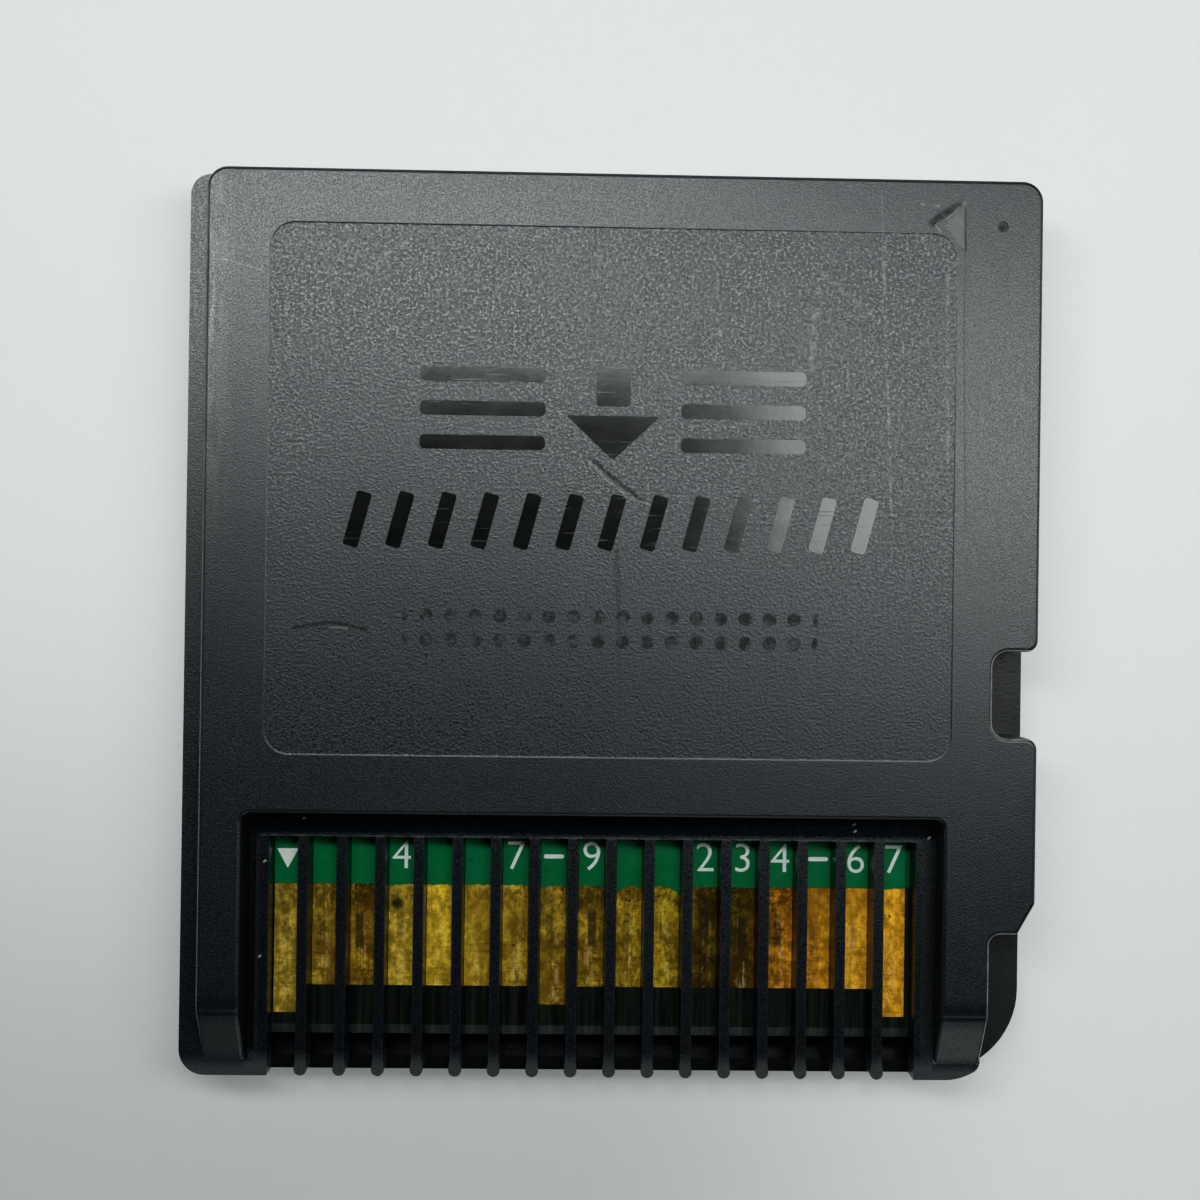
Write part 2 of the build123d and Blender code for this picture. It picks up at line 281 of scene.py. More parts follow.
# Contacts: copper pads plated with thin gold, one under each window of the comb.
# Springs of the slot have wiped them along their length; grime and copper stains show through the plate.
PALE_WIPE, SMEAR_BROWN = (0.80, 0.64, 0.34, 1), (0.10, 0.055, 0.005, 1)
CRUST_BROWN, WORN_BROWN = (0.040, 0.022, 0.003, 1), (0.040, 0.028, 0.008, 1)
PIT_BROWN, STAIN_GREEN = (0.014, 0.010, 0.002, 1), (0.002, 0.020, 0.010, 1)
BROWNING = (0.38, 0.29, 0.20)
GREEN_STAIN_AT = (-8.25, -10.95, 1.55)
material, place, x, y, z = finish("contact_gold")
number = (x - CONTACT_MID) / CONTACT_PITCH + (CONTACT_COUNT + 1) / 2
whole = number.math("ROUND", number)
across = (number - whole) * CONTACT_PITCH
down = CONTACT_TOP - y
own = place.node("ShaderNodeTexWhiteNoise", {"W": whole}, {"noise_dimensions": "1D"}, output=1)
chance, luck, lot = [own.node("ShaderNodeSeparateXYZ", {0: own}, output=axis) for axis in range(3)]
cloud = noise(place, 0.9, 3.0, 0.65)
blotch = noise(stretch(place, (1.0, 0.7, 1.0)), 3.0, 4.0, 0.7)
spots = noise(place, 5.5, 4.0, 0.75)
wipes = noise(stretch(place, (9.0, 0.4, 1.0)), 1.0, 3.0, 0.65)
smears = noise(stretch(place, (0.6, 6.0, 1.0)), 1.0, 3.0, 0.6)
# The plate from the first contact to the last; a stop's alpha is how dirty the contacts are there.
plate = number.node(
    "ShaderNodeValToRGB",
    {0: number / (CONTACT_COUNT + 1)},
    {
        "stops": [
            (0.06, (0.62, 0.46, 0.080, 0.45)),
            (0.11, (0.54, 0.38, 0.050, 0.60)),
            (0.17, (0.46, 0.30, 0.036, 0.90)),
            (0.22, (0.74, 0.54, 0.080, 0.40)),
            (0.28, (0.94, 0.66, 0.064, 0.20)),
            (0.35, (0.66, 0.47, 0.060, 0.45)),
            (0.47, (0.48, 0.33, 0.042, 0.85)),
            (0.61, (0.58, 0.42, 0.036, 0.60)),
            (0.66, (0.13, 0.090, 0.008, 1.00)),
            (0.73, (0.19, 0.135, 0.010, 0.95)),
            (0.78, (0.68, 0.31, 0.022, 0.75)),
            (0.86, (1.00, 0.55, 0.046, 0.20)),
        ]
    },
)
dirt = Wire(plate.socket.node.outputs["Alpha"])
shade = 1.0 + (ease(blotch * 0.7 + spots * 0.3, 0.38, 0.62) - 0.5) * (0.75 + dirt * 0.5)
colour = plate.node("ShaderNodeVectorMath", {0: plate, "Scale": shade}, {"operation": "SCALE"})
brown = plate.node("ShaderNodeVectorMath", {0: plate, 1: BROWNING}, {"operation": "MULTIPLY"})
mottle = ease(spots * 0.8 + cloud * 0.6 + (chance - 0.5) * 0.1, 0.62, 0.80) * (0.3 + dirt * 0.6)
colour = tint(mottle, colour, brown)
colour = tint(ease(wipes, 0.46, 0.32) * (0.25 + dirt * 0.45), colour, brown)
smeared = ease(smears, 0.54, 0.66) * ease(down, 1.8, 2.6) * (0.2 + dirt * 0.5)
colour = tint(smeared, colour, SMEAR_BROWN)
wiped = ease(abs(across + (luck - 0.5) * 0.2), 0.26, 0.06) * ease(down, 0.9, 1.9)
wiped = wiped * ease(wipes, 0.45, 0.60) * ease(blotch, 0.44, 0.58)
colour = tint(wiped * 0.6, colour, PALE_WIPE)
crust = ease(down, 1.45, 0.5) * ease(spots * 1.1 + luck * 0.35, 0.60, 0.80) * dirt
colour = tint(crust * 0.85, colour, CRUST_BROWN)
worn = ease(abs(down - 1.5 - chance * 0.5), 0.85, 0.55)
worn = worn * ease(abs(across + 0.06 + (lot - 0.5) * 0.2), 0.20, 0.11)
worn = worn * ease(spots * 0.6 + blotch * 0.4 + dirt * 0.40 + luck * 0.2, 0.66, 1.02)
colour = tint(worn * 0.85, colour, WORN_BROWN)
pits = larger(ease(spots, 0.63, 0.69), ease(noise(place, 12.0, 2.0, 0.6), 0.68, 0.73) * 0.8)
colour = tint(pits * 0.95, colour, PIT_BROWN)
stain_away = place.node(
    "ShaderNodeVectorMath", {0: place, 1: GREEN_STAIN_AT}, {"operation": "DISTANCE"}, output=1
)
colour = tint(ease(stain_away + spots * 0.7, 0.72, 0.46) * 0.9, colour, STAIN_GREEN)
coat(
    material,
    {
        "Base Color": colour,
        "Roughness": 0.42 + mottle * 0.12 + worn * 0.1,
        "Metallic": 0.12 - pits * 0.1 - worn * 0.1,
        "Specular IOR Level": 0.2,
    },
    wipes * 0.006 + spots * 0.010,
)
dress(material, *[f"contact_pad_{pad:02d}" for pad in range(1, CONTACT_COUNT + 1)])

# Solder mask over the tops of the contacts: the green coat's own thickness, one patch in each window.
# It was printed on, so its lower edge is a little ragged and creeps over some of the contacts.
MASK_HIGH, MASK_LOW = -8.205, -10.2
MASK_WIDTH, MASK_TOP = 1.0, 1.575
MASK_CREEPS = ((0.48, 0.22), (2.92, 0.30), (-8.4, 0.07), (-2.5, 0.10))
CREEP_WIDTH, EDGE_BAND, EDGE_WAVE, EDGE_SWAY = 0.6, 0.12, 0.22, 0.14
FILM_DARK, FILM_LIGHT = (0.0, 0.160, 0.058, 1), (0.001, 0.240, 0.096, 1)
SMEAR_GREEN, SPECK_GREEN = (0.08, 0.22, 0.14, 1), (0.006, 0.028, 0.012, 1)


def pick(piece, wanted):
    """Goes into edit mode with only the vertices for which wanted(place in mm) is true selected."""
    bpy.ops.object.mode_set(mode="EDIT")
    bpy.ops.mesh.select_mode(type="VERT")
    bpy.ops.mesh.select_all(action="DESELECT")
    bpy.ops.object.mode_set(mode="OBJECT")
    for vertex in piece.data.vertices:
        vertex.select = wanted(vertex.co * 1000)
    bpy.ops.object.mode_set(mode="EDIT")


def raise_up(height):
    """Thickens the flat mesh in edit mode upwards into a closed plate."""
    bpy.ops.mesh.select_all(action="SELECT")
    bpy.ops.mesh.extrude_region_move(TRANSFORM_OT_translate={"value": (0, 0, height / 1000)})
    bpy.ops.mesh.select_all(action="SELECT")
    bpy.ops.mesh.normals_make_consistent(inside=False)
    bpy.ops.object.mode_set(mode="OBJECT")


def gather(name, pieces):
    """Joins pieces into one object of that name, with its place in its mesh."""
    bpy.ops.object.select_all(action="DESELECT")
    for piece in pieces:
        piece.select_set(True)
    bpy.context.view_layer.objects.active = pieces[0]
    if len(pieces) > 1:
        bpy.ops.object.join()
    bpy.ops.object.transform_apply(location=True, rotation=True, scale=True)
    pieces[0].name = name
    pieces[0].data.name = name
    return pieces[0]


def window_x(window):
    """The middle of a window of the comb; the first is number 1."""
    return CONTACT_MID + (window - (CONTACT_COUNT + 1) / 2) * CONTACT_PITCH


patches = []
for window in range(1, CONTACT_COUNT + 1):
    bpy.ops.object.select_all(action="DESELECT")
    bpy.ops.mesh.primitive_grid_add(
        x_subdivisions=24,
        y_subdivisions=12,
        size=1,
        location=(window_x(window) / 1000, (MASK_LOW + MASK_HIGH) / 2000, SEAM / 1000),
    )
    bpy.context.object.scale = (MASK_WIDTH / 1000, (MASK_HIGH - MASK_LOW) / 1000, 1)
    patches.append(bpy.context.object)
mask_film = gather("mask_film", patches)
for corner_x, creep in MASK_CREEPS:
    pick(mask_film, lambda at: at.y < MASK_LOW + 0.01 and abs(at.x - corner_x) < 0.03)
    bpy.ops.transform.translate(
        value=(0, -creep / 1000, 0),
        use_proportional_edit=True,
        use_proportional_connected=True,
        proportional_edit_falloff="SHARP",
        proportional_size=CREEP_WIDTH / 1000,
    )
    bpy.ops.object.mode_set(mode="OBJECT")
ragged = mask_film.vertex_groups.new(name="lower_edge")
edge = [v.index for v in mask_film.data.vertices if v.co.y * 1000 < MASK_LOW + EDGE_BAND]
ragged.add(edge, 1.0, "REPLACE")
wobble = bpy.data.textures.new("mask_edge", "CLOUDS")
wobble.noise_scale = EDGE_WAVE / 1000
shaken = mask_film.modifiers.new("mask_edge", "DISPLACE")
shaken.texture = wobble
shaken.texture_coords = "LOCAL"
shaken.direction = "Y"
shaken.vertex_group = "lower_edge"
shaken.strength = EDGE_SWAY / 1000
shaken.mid_level = 0.5
bpy.ops.object.modifier_apply(modifier="mask_edge")
bpy.ops.object.mode_set(mode="EDIT")
raise_up(MASK_TOP - SEAM)
material, place, x, y, z = finish("green_mask")
mask_cloud = noise(place, 1.2, 3.0, 0.6)
smear = noise(stretch(place, (1.0, 3.5, 1.0), 0.6), 1.0, 3.0, 0.65)
specks = ease(noise(place, 6.0, 2.0, 0.7), 0.69, 0.74)
colour = tint(mask_cloud, FILM_DARK, FILM_LIGHT)
colour = tint(ease(smear, 0.60, 0.78) * 0.2, colour, SMEAR_GREEN)
colour = tint(specks * 0.6, colour, SPECK_GREEN)
coat(
    material,
    {"Base Color": colour, "Roughness": 0.24 + smear * 0.2, "Specular IOR Level": 0.35},
    mask_cloud * 0.012 + specks * 0.01,
)
mask_film.data.materials.append(material)
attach(mask_film, "root")

# Pin marks: white ink screened on the mask, a triangle at the first contact and plain numbers and dashes.
# They are printed last, so they lie on the mask and stand a hundredth of a millimetre out of it.
MARK_Y, MARK_FOOT, MARK_THICK = -9.09, MASK_TOP - 0.005, 0.015
TRIANGLE_WIDTH, TRIANGLE_LENGTH, TRIANGLE_CORNER = 0.86, 0.78, 0.03
DASH_RISE, DASH_WIDTH, DASH_LENGTH, DASH_CORNER = 0.04, 0.80, 0.17, 0.07
FIGURE_SIZE, FIGURE_THINNER = 1.65, 0.01
DASHES = (8, 15)
FIGURES = ((4, "4"), (7, "7"), (9, "9"), (12, "2"), (13, "3"), (14, "4"), (16, "6"), (17, "7"))
INK_DARK, INK_LIGHT, INK_THIN = (0.66, 0.72, 0.68, 1), (0.86, 0.90, 0.87, 1), (0.10, 0.20, 0.13, 1)


def bar(x, y, foot, width, length, corner, height, turn=0.0):
    """A flat bar with rounded corners, raised from its foot."""
    bpy.ops.object.select_all(action="DESELECT")
    at = (x / 1000, y / 1000, foot / 1000)
    bpy.ops.mesh.primitive_plane_add(size=1, location=at, rotation=(0, 0, turn))
    piece = bpy.context.object
    piece.scale = (width / 1000, length / 1000, 1)
    bpy.ops.object.transform_apply(location=True, rotation=True, scale=True)
    bpy.ops.object.mode_set(mode="EDIT")
    bpy.ops.mesh.select_all(action="SELECT")
    bpy.ops.mesh.bevel(offset=corner / 1000, segments=5, affect="VERTICES")
    raise_up(height)
    return piece


def triangle(x, y, foot, width, length, corner, height):
    """A flat triangle that points to the contact end, with its tips a little rounded."""
    bpy.ops.object.select_all(action="DESELECT")
    at = (x / 1000, y / 1000, foot / 1000)
    bpy.ops.mesh.primitive_circle_add(
        vertices=3, radius=1, fill_type="NGON", location=at, rotation=(0, 0, math.pi)
    )
    piece = bpy.context.object
    bpy.ops.object.transform_apply(location=False, rotation=True, scale=False)
    # A triangle in a circle of radius 1 is sqrt(3) wide and 1.5 long.
    piece.scale = (width / math.sqrt(3) / 1000, length / 1.5 / 1000, 1)
    bpy.ops.object.transform_apply(location=True, rotation=False, scale=True)
    bpy.ops.object.mode_set(mode="EDIT")
    bpy.ops.mesh.select_all(action="SELECT")
    bpy.ops.mesh.bevel(offset=corner / 1000, segments=4, affect="VERTICES")
    raise_up(height)
    return piece


marks = [
    triangle(
        window_x(1), MARK_Y, MARK_FOOT, TRIANGLE_WIDTH, TRIANGLE_LENGTH, TRIANGLE_CORNER, MARK_THICK
    )
]
for window in DASHES:
    dash_y = MARK_Y + DASH_RISE
    marks.append(
        bar(window_x(window), dash_y, MARK_FOOT, DASH_WIDTH, DASH_LENGTH, DASH_CORNER, MARK_THICK)
    )
for window, figure in FIGURES:
    bpy.ops.object.select_all(action="DESELECT")
    at = (window_x(window) / 1000, MARK_Y / 1000, (MARK_FOOT + MARK_THICK / 2) / 1000)
    bpy.ops.object.text_add(location=at)
    figure_text = bpy.context.object
    figure_text.data.body = figure
    figure_text.data.size = FIGURE_SIZE / 1000
    figure_text.data.offset = -FIGURE_THINNER / 1000
    figure_text.data.align_x = "CENTER"
    figure_text.data.align_y = "CENTER"
    figure_text.data.extrude = MARK_THICK / 2000
    figure_text.data.resolution_u = 5
    bpy.ops.object.convert(target="MESH")
    marks.append(bpy.context.object)
pin_marks = gather("pin_marks", marks)
material, place, x, y, z = finish("white_ink")
ink = noise(place, 5.0, 4.0, 0.7)
colour = tint(ink, INK_DARK, INK_LIGHT)
colour = tint(ease(ink, 0.68, 0.76) * 0.6, colour, INK_THIN)
coat(material, {"Base Color": colour, "Roughness": 0.5 + ink * 0.2}, ink * 0.01)
pin_marks.data.materials.append(material)
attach(pin_marks, "root")

# Rear shell: the contact-side half of the case, black moulded plastic with the comb of ribs at its foot.
# Its back is finely matted, with a coarser leather grain in the grip panel, worn dots of ink and scuffs.
# It is welded to the front shell all round at the seam, with the board shut in between them. Painted into
# its colour are highlights along its edges and window tops, light on the rib tips and contact end, sheen
# over the upper grip panel and a shadow by the flake.
PANEL = (-13.16, -4.9, 13.16, 15.4)
PANEL_CORNER = 0.95
BACK, COMB = 3.8, 2.55
POCKET = (-13.96, -18.5, 12.93, -7.17)
WINDOW_TOP = -8.2
RAMP_TOP, RAMP_FOOT, RAMP_SLOPE = -14.73, -16.88, 0.58
NOTCH = (14.75, -3.98, 19.0, -0.65)
KEY_RECESS = (14.75, -25.0, 19.0, -11.55)
GATE_MARK = (14.9, 15.7)
POCKET_CORNER, NOTCH_CORNER, KEY_CORNER = 0.35, 0.6, 0.42
LEFT_EDGE, RIM_INSET, RIM_FADE, RIM_WIDTH = -15.575, 0.05, 0.05, 0.02
LEFT_SCUFF_X, LEFT_SCUFF_Y = -15.33, 10.3
LEG_INNER_MID, LEG_INNER = -0.515, (13.40, 13.445)
LEG_OUTER_MID, LEG_OUTER = -0.43, (15.17, 15.12)
LEFT_FADE, LEFT_RISE = (-14.3, -15.2), (1.0, 9.0)
RIB_TIPS, END_LIGHT_Y, WINDOW_SIDE = (-16.4, -17.2), (-16.7, -17.3), (12.95, 12.8)
RUB_RISE = (-4.0, 12.0)
FLAKE_TIP, FLAKE_SIDE = (12.68, 15.71), 13.46
FLAKE_UPPER, FLAKE_LOWER = (-0.795, 0.607), (-0.78, -0.626)
BROW_REACH, FOOT_REACH = 0.7, 0.35
INK_PITCH, INK_SIDE, INK_REACH = 0.94, 8.02, 0.96
FLECK_AND_SHEEN_GREY, HAIRLINE_GREY = (0.150, 0.154, 0.148, 1), (0.120, 0.125, 0.125, 1)
SCUFF_BROWN, RIB_GREY = (0.150, 0.136, 0.122, 1), (0.040, 0.043, 0.044, 1)
PAINTED_LIGHT_GREY, RIM_HIGHLIGHT_PALE = (0.066, 0.074, 0.078, 1), (0.32, 0.31, 0.28, 1)
SCRATCH_AND_GLINT_GREY, FLAKE_GREY = (0.170, 0.175, 0.170, 1), (0.100, 0.106, 0.110, 1)
DUST_PALE, DARK_MARKS_AND_SHADOW = (0.42, 0.42, 0.40, 1), (0.002, 0.002, 0.002, 1)
material, place, x, y, z = finish("contact_side_plastic")
flat = place.node("ShaderNodeVectorMath", {0: place, 1: (1, 1, 0)}, {"operation": "MULTIPLY"})


def scratch(points, width):
    """1 along a line of points in millimetres, fading to 0 over its width."""
    line = None
    for start, end in zip(points, points[1:]):
        run = Vector((*end, 0)) - Vector((*start, 0))
        reach = flat.node("ShaderNodeVectorMath", {0: flat, 1: (*start, 0)}, {"operation": "SUBTRACT"})
        share = reach.node(
            "ShaderNodeVectorMath",
            {0: reach, 1: run / run.length_squared},
            {"operation": "DOT_PRODUCT"},
            output=1,
        )
        share = share.node("ShaderNodeClamp", {0: share})
        nearest = share.node("ShaderNodeVectorMath", {0: run, "Scale": share}, {"operation": "SCALE"})
        apart = reach.node(
            "ShaderNodeVectorMath", {0: reach, 1: nearest}, {"operation": "DISTANCE"}, output=1
        )
        line = apart if line is None else line.math("MINIMUM", line, apart)
    return ease(line, width, width * 0.25)


back = ease(z, BACK - 0.14, BACK - 0.06)
panel_edge = rounded_box(x, y, *PANEL, PANEL_CORNER)
panel = ease(panel_edge, 0.04, -0.04) * back
pocket = ease(rounded_box(x, y, *POCKET, POCKET_CORNER), 0.02, -0.05)
pocket = pocket * ease(z, COMB + 0.1, COMB + 0.05)
leather = noise(place, 8.5, 2.0, 0.6) - 0.5
fine = noise(place, 14.0, 1.0) - 0.5
patches = noise(place, 0.22, 3.0, 0.6)
broken = noise(place, 2.6, 3.0, 0.65)
# More toward the grip end: wear there, which through the flecks also paints the upper panel lighter where
# the lamp's sheen falls.
rub = ease(y, *RUB_RISE) * (0.25 + 1.1 * ease(patches, 0.35, 0.65))
hairlines = larger(
    ease(noise(stretch(place, (0.16, 13.0, 1.0), 0.5), 1.0, 1.0), 0.72, 0.80),
    ease(noise(stretch(place, (15.0, 0.14, 1.0), 0.08), 1.0, 1.0), 0.73, 0.81),
)
dashes = ease(broken, 0.42, 0.60)
light_scratches_and_glint = larger(
    larger(
        scratch([(10.3, 14.9), (10.75, 4.6)], 0.09),
        scratch([(10.2, 17.1), (10.3, 15.0)], 0.06) * 0.4,
        scratch([(12.8, 14.9), (12.9, 6.7)], 0.10),
        scratch([(7.37, 14.28), (8.35, 13.48), (9.94, 12.2)], 0.13),
        scratch([(7.8, 13.1), (7.55, 9.5)], 0.22),
        scratch([(4.05, 11.47), (3.83, 10.43)], 0.16),
        scratch([(-7.9, 14.9), (-9.28, 13.8), (-9.73, 13.36)], 0.10),
        scratch([(-12.56, 12.2), (-12.26, 9.55)], 0.08),
    )
    * dashes,
    scratch([(-15.0, 13.95), (-13.4, 13.5)], 0.045),
    scratch([(-12.1, 14.95), (-11.4, 14.5)], 0.05) * 0.6,
    scratch([(-9.25, 11.2), (-7.85, 11.54)], 0.06) * dashes,
    scratch([(-0.87, 6.37), (-0.13, 5.65), (0.6, 5.11), (2.11, 4.58)], 0.08) * (0.5 + dashes),
    # A painted highlight below the arc-shaped crease.
    scratch([(-10.73, -0.05), (-10.05, -0.07)], 0.06),
    scratch([(11.76, 16.53), (12.42, 16.47)], 0.09) * dashes,
    scratch([(12.32, 15.7), (12.49, 15.48)], 0.07),
    scratch([(12.75, 15.98), (13.38, 16.6)], 0.05),
    scratch([(11.23, 14.58), (11.99, 15.36)], 0.06) * dashes,
    scratch([(11.94, 15.2), (12.33, 14.6)], 0.05) * dashes,
)
creases_and_flake_shadow = larger(
    scratch([(-12.1, -0.08), (-11.37, 0.04), (-10.65, 0.14), (-10.04, 0.05), (-9.32, -0.13)], 0.11)
    * 0.9,
    scratch([(-0.72, 6.45), (-0.02, 5.85), (1.14, 4.98)], 0.11) * 0.6,
    scratch([(0.2, 3.0), (0.5, -4.6)], 0.16) * 0.35,
    scratch([(13.45, 16.4), (13.47, 14.7)], 0.07) * 0.5,
    scratch([(13.47, 14.6), (13.45, 11.5), (13.6, 4.0)], 0.04) * 0.2,
    # Painted shadow: a dark slash along the flake's lifted edge.
    scratch([(12.15, 15.8), (12.66, 16.2), (13.2, 16.52)], 0.22) * (0.35 + dashes * 0.4),
    scratch([GATE_MARK, (GATE_MARK[0] + 0.01, GATE_MARK[1])], 0.26) * 0.7,
)
flake_x, flake_y = x - FLAKE_TIP[0], y - FLAKE_TIP[1]
chipped = larger(
    x - FLAKE_SIDE,
    flake_x * FLAKE_UPPER[0] + flake_y * FLAKE_UPPER[1],
    flake_x * FLAKE_LOWER[0] + flake_y * FLAKE_LOWER[1],
)
chipped = ease(chipped + broken * 0.25, 0.18, 0.06) * back
left_streaks = noise(stretch(place, (4.0, 0.5, 1.0)), 1.0, 3.0, 0.65)
left_scuff = ease(abs(x - LEFT_SCUFF_X), 0.22, 0.06) * ease(abs(y - LEFT_SCUFF_Y), 4.0, 2.0)
left_wear = larger(ease(x, *LEFT_FADE) * 0.5, left_scuff)
left_wear = left_wear * ease(y, *LEFT_RISE) * back * ease(left_streaks, 0.36, 0.60)
# Pale flecks of wear in the grain, partly painted sheen that lifts the upper panel's tone.
flecks_and_sheen = ease(leather + fine * 0.5, 0.04, 0.14) * (panel * 0.8 + back * 0.2) * rub
rib = (x - CONTACT_MID) / CONTACT_PITCH
rib_side = abs(rib - rib.math("FLOOR", rib) - 0.5)
# The top edges of the ribs beside the windows are coloured a little paler.
rib_edges_paler = ease(rib_side, 0.09, 0.13) * ease(z, COMB - 0.06, COMB - 0.01)
rib_edges_paler = rib_edges_paler * pocket * ease(y, WINDOW_TOP + 0.1, WINDOW_TOP - 0.2)
# Painted light: the rib tips and the strip at the contact end are made paler, standing in for light from
# the contact end.
rib_tips_painted_light = ease(y, *RIB_TIPS) * pocket
contact_end_painted_light = ease(y, *END_LIGHT_Y) * ease(z, COMB + 0.25, COMB + 0.05)
# Painted highlights: pale lines on the rounded left edge and round the notch and the key recess, where the
# edges catch the lamps.
left_rim_highlight = ease(abs(x - LEFT_EDGE), RIM_FADE, RIM_WIDTH) * ease(z, BACK - 0.40, BACK - 0.15) * 0.5
notch_away = rounded_box(x, y, *NOTCH, NOTCH_CORNER) - RIM_INSET
key_away = rounded_box(x, y, *KEY_RECESS, KEY_CORNER) - RIM_INSET
rim = larger(
    left_rim_highlight,
    ease(abs(notch_away), RIM_FADE, RIM_WIDTH),
    ease(abs(key_away), RIM_FADE, RIM_WIDTH),
)
rim = rim * ease(z, COMB + 0.02, COMB + 0.10) * (0.4 + 0.6 * ease(broken, 0.32, 0.60))
# Painted highlight: a thin pale line along the top edges of the windows, where the edge catches light.
window_edge_highlight = ease(abs(y - WINDOW_TOP - 0.03), 0.06, 0.02)
window_edge_highlight = window_edge_highlight * ease(abs(x - CONTACT_MID), *WINDOW_SIDE) * pocket
window_edge_highlight = window_edge_highlight * (0.3 + 0.7 * ease(broken, 0.40, 0.62))
dust_places = (
    (9.66, -7.55),
    (9.71, -7.81),
    (12.62, -8.04),
    (-11.81, -7.52),
    (-13.45, -12.9),
    (-13.3, -9.2),
)
dust = larger(*[scratch([(a, b), (a + 0.06, b + 0.04)], 0.06) for a, b in dust_places]) * pocket
ink_x, ink_y = x / INK_PITCH, y / INK_PITCH
ink_across = ink_x - ink_x.math("FLOOR", ink_x) - 0.5
ink_along = ink_y - ink_y.math("FLOOR", ink_y) - 0.5
ink_dot = ease(ink_across * ink_across + ink_along * ink_along, 0.10, 0.06)
ink_dot = ink_dot * ease(abs(x), INK_SIDE, INK_SIDE - 0.12) * ease(abs(y), INK_REACH, INK_REACH - 0.04)
ink_dot = ink_dot * panel * (0.25 + 0.6 * ease(broken, 0.34, 0.60))
seam = ease(abs(z - SEAM), SEAM_FADE, SEAM_DARK)
legs = ease(abs(x - LEG_INNER_MID), *LEG_INNER) * ease(abs(x - LEG_OUTER_MID), *LEG_OUTER)
brow = larger(BROW_REACH - abs(y - RAMP_TOP), 0.0)
foot = larger(FOOT_REACH - abs(y - RAMP_FOOT), 0.0)
foot_round = foot * foot * (RAMP_SLOPE / 4 / 0.5)
brow_round = brow * brow * (RAMP_SLOPE / 4 / 1.0)
rounding = (foot_round - brow_round) * legs

colour = tint(patches, PLASTIC_DARK, PLASTIC_LIGHT)
colour = tint(flecks_and_sheen * 0.5, colour, FLECK_AND_SHEEN_GREY)
colour = tint(hairlines * back * rub * 0.18, colour, HAIRLINE_GREY)
colour = tint(left_wear * 0.6, colour, SCUFF_BROWN)
colour = tint(rib_edges_paler * 0.3, colour, RIB_GREY)
# Painted light on the rib tips, the contact end and the window tops.
colour = tint(larger(contact_end_painted_light * 0.8, rib_tips_painted_light * 0.9, window_edge_highlight), colour, PAINTED_LIGHT_GREY)
# The painted edge highlights.
colour = tint(rim * 0.7, colour, RIM_HIGHLIGHT_PALE)
# Light scratches, and the painted highlight below the crease.
colour = tint(light_scratches_and_glint * back * 0.5, colour, SCRATCH_AND_GLINT_GREY)
colour = tint(chipped * (0.25 + broken * 0.5), colour, FLAKE_GREY)
colour = tint(dust * 0.8, colour, DUST_PALE)
# The dark seam line, creases, ink dots and the painted shadow by the flake.
colour = tint(larger(seam, creases_and_flake_shadow * back, ink_dot) * 0.8, colour, DARK_MARKS_AND_SHADOW)
coat(
    material,
    {
        "Base Color": colour,
        "Roughness": 0.37
        + patches * 0.05
        - leather * 0.55 * panel
        - fine * 0.36
        - left_wear * 0.05
        + panel * 0.02
        - pocket * (0.08 + 0.17 * ease(y, WINDOW_TOP + 0.10, WINDOW_TOP + 0.25))
        + larger(creases_and_flake_shadow * back, ink_dot) * 0.45,
        "Specular IOR Level": 1.0,
        "Specular Tint": PLASTIC_SHEEN,
    },
    leather * panel * (0.014 + rub * 0.004) + fine * 0.007 - panel * 0.012 + rounding,
)
dress(material, "rear_shell")

# Polished marks: places of the grip panel that the mould left smooth, of the shell's own plastic.
# An arrow that shows which end goes into the slot, three bars at each side of it and a row of slanted bars.
MARKS_FOOT, MARKS_HIGH, MARKS_CORNER = 3.755, 0.017, 0.12
HEAD_Y, HEAD_WIDTH, HEAD_LENGTH = 7.62, 3.6, 1.7
SHAFT_Y, SHAFT_WIDTH, SHAFT_LENGTH = 9.30, 1.3, 1.5
BAR_X, BAR_Y, BAR_STEP, BAR_COUNT = 5.0, 7.1, 1.3, 3
BAR_WIDTH, BAR_LENGTH, BAR_CORNER = 4.8, 0.55, 0.2
SLANT_STEPS, SLANT_STEP, SLANT_Y = 6, 1.62, 4.1
SLANT_WIDTH, SLANT_LENGTH, SLANT_TURN = 0.58, 2.15, -0.26
SMOOTH_DARK, SMOOTH_LIGHT = (0.0045, 0.0055, 0.0065, 1), (0.0080, 0.0092, 0.0100, 1)
RUB_GREY = (0.09, 0.09, 0.09, 1)
marks = [
    triangle(0.0, HEAD_Y, MARKS_FOOT, HEAD_WIDTH, HEAD_LENGTH, MARKS_CORNER, MARKS_HIGH),
    bar(0.0, SHAFT_Y, MARKS_FOOT, SHAFT_WIDTH, SHAFT_LENGTH, MARKS_CORNER, MARKS_HIGH),
]
for side in (-1, 1):
    for row in range(BAR_COUNT):
        bar_y = BAR_Y + row * BAR_STEP
        marks.append(
            bar(side * BAR_X, bar_y, MARKS_FOOT, BAR_WIDTH, BAR_LENGTH, BAR_CORNER, MARKS_HIGH)
        )
for step in range(-SLANT_STEPS, SLANT_STEPS + 1):
    slant = bar(
        step * SLANT_STEP,
        SLANT_Y,
        MARKS_FOOT,
        SLANT_WIDTH,
        SLANT_LENGTH,
        MARKS_CORNER,
        MARKS_HIGH,
        SLANT_TURN,
    )
    marks.append(slant)
polished_marks = gather("polished_marks", marks)
material, place, x, y, z = finish("polished_plastic")
haze = noise(place, 1.0, 4.0, 0.6)
rubs = ease(noise(stretch(place, (0.5, 11.0, 1.0), 0.7), 1.0, 3.0), 0.62, 0.74)
colour = tint(haze, SMOOTH_DARK, SMOOTH_LIGHT)
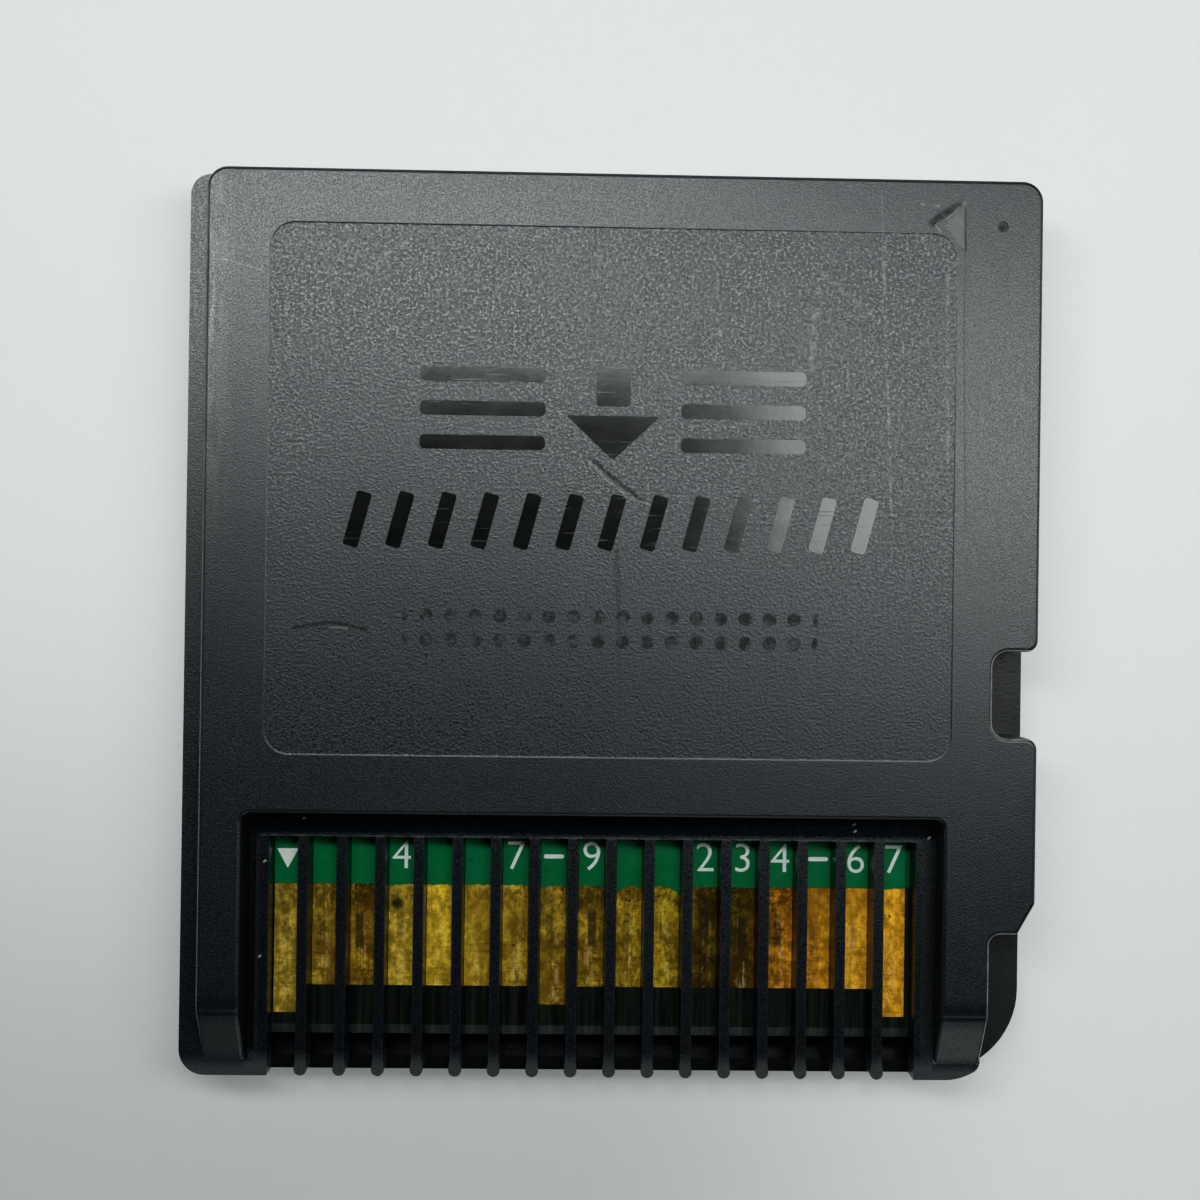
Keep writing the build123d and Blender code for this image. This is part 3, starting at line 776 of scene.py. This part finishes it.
colour = tint(rubs * 0.2, colour, RUB_GREY)
coat(
    material,
    {
        "Base Color": colour,
        "Roughness": 0.13 + haze * 0.08 + rubs * 0.12,
        "Specular IOR Level": 0.8,
    },
    haze * 0.004,
)
polished_marks.data.materials.append(material)
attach(polished_marks, "root")

# Floor: a pale, smooth sheet under the card; half of its brightness is a glow painted into it, which stands
# in for the light falling on it and softens the card's shadow.
# It isn't part of the object.
FLOOR_SIZE = 1.2
GLOW_ACROSS, GLOW_ALONG = (-2.0, 20.0), (-24.0, 6.0)
SHEET_DARK, SHEET_LIGHT = (0.392, 0.395, 0.395, 1), (0.405, 0.406, 0.406, 1)
GLOW_LEFT, GLOW_RIGHT = (0.133, 0.140, 0.138, 1), (0.238, 0.250, 0.246, 1)
GLOW_FAR = (0.247, 0.260, 0.256, 1)
bpy.ops.object.select_all(action="DESELECT")
bpy.ops.mesh.primitive_plane_add(size=FLOOR_SIZE)
floor = bpy.context.object
floor.name = "floor"
material, place, x, y, z = finish("floor_sheet")
paper = noise(place, 0.9, 4.0, 0.6)
colour = tint(paper, SHEET_DARK, SHEET_LIGHT)
# Painted light and shade: the glow is dimmer toward the left and the contact end, and brighter to the right
# and at the far end.
painted_glow = tint(ease(x, *GLOW_ACROSS), GLOW_LEFT, GLOW_RIGHT)
painted_glow = tint(ease(y, *GLOW_ALONG), painted_glow, GLOW_FAR)
coat(
    material,
    {
        "Base Color": colour,
        "Roughness": 0.6 + paper * 0.1,
        "Emission Color": painted_glow,
        "Emission Strength": 1.0,
    },
    paper * 0.02,
)
floor.data.materials.append(material)

# Studio: one softbox over the grip end and one to the right of the card, whose soft edges show on the back.
# Four low reflectors lift the sides, and the room's wall is pale near the horizon and dark overhead.
LAMP_COLOUR = (0.95, 1.0, 0.985)
WALL_COLOUR = (0.92, 0.97, 0.96, 1)
WALL_HIGH, WALL_LOW, WALL_STRENGTH, ROOM_STRENGTH = 0.24, 0.05, 0.24, 0.002
LAMPS = (
    ("grip_end_softbox", (-22, 38, 94), 86, 20, 0.0465),
    ("right_softbox", (50, 18, 93), 70, 34, 0.0345),
    ("left_reflector", (-130, 25, 30), 30, 90, 0.014),
    ("right_reflector", (135, 15, 30), 30, 90, 0.012),
    ("grip_end_reflector", (0, 140, 40), 100, 40, 0.012),
    ("contact_end_reflector", (16, -140, 45), 100, 50, 0.016),
)


def softbox(name, at, width, depth, power):
    """A soft rectangular lamp at a place in millimetres, turned to the card."""
    lamp = bpy.data.lights.new(name, "AREA")
    lamp.shape = "RECTANGLE"
    lamp.size = width / 1000
    lamp.size_y = depth / 1000
    lamp.energy = power
    lamp.color = LAMP_COLOUR
    stand = bpy.data.objects.new(name, lamp)
    stand.location = Vector(at) / 1000
    aim = -Vector(at).normalized()
    across = aim.cross(Vector((0, 1, 0))).normalized()
    stand.rotation_euler = Matrix((across, across.cross(aim), -aim)).transposed().to_euler()
    bpy.context.scene.collection.objects.link(stand)


for lamp_values in LAMPS:
    softbox(*lamp_values)
room = bpy.data.worlds.new("studio_room")
room.use_nodes = True
sight = Wire(room.node_tree.nodes.new("ShaderNodeTexCoord").outputs["Generated"])
rise = sight.node("ShaderNodeSeparateXYZ", {0: sight}, output=2)
wall = ease(rise, WALL_HIGH, WALL_LOW) * WALL_STRENGTH + ROOM_STRENGTH
fill(room.node_tree.nodes["Background"], {"Color": WALL_COLOUR, "Strength": wall})
bpy.context.scene.world = room

# Camera: straight above the card, as in the photograph, and near enough that the sides show a little.
# It was fitted to the card's corners, so it is turned by about a degree each way.
LENS, NEAREST = 46.33, 0.005
CAMERA_AT = (-0.001695, 0.000873, 0.062861)
CAMERA_TURN = (0.2322, -1.2459, 0.7889)
lens = bpy.data.cameras.new("camera")
lens.lens = LENS
lens.clip_start = NEAREST
camera = bpy.data.objects.new("camera", lens)
camera.location = CAMERA_AT
camera.rotation_euler = [math.radians(degrees) for degrees in CAMERA_TURN]
bpy.context.scene.collection.objects.link(camera)
bpy.context.scene.camera = camera
bpy.context.scene.view_settings.view_transform = "Standard"
bpy.context.scene.view_settings.look = "High Contrast"
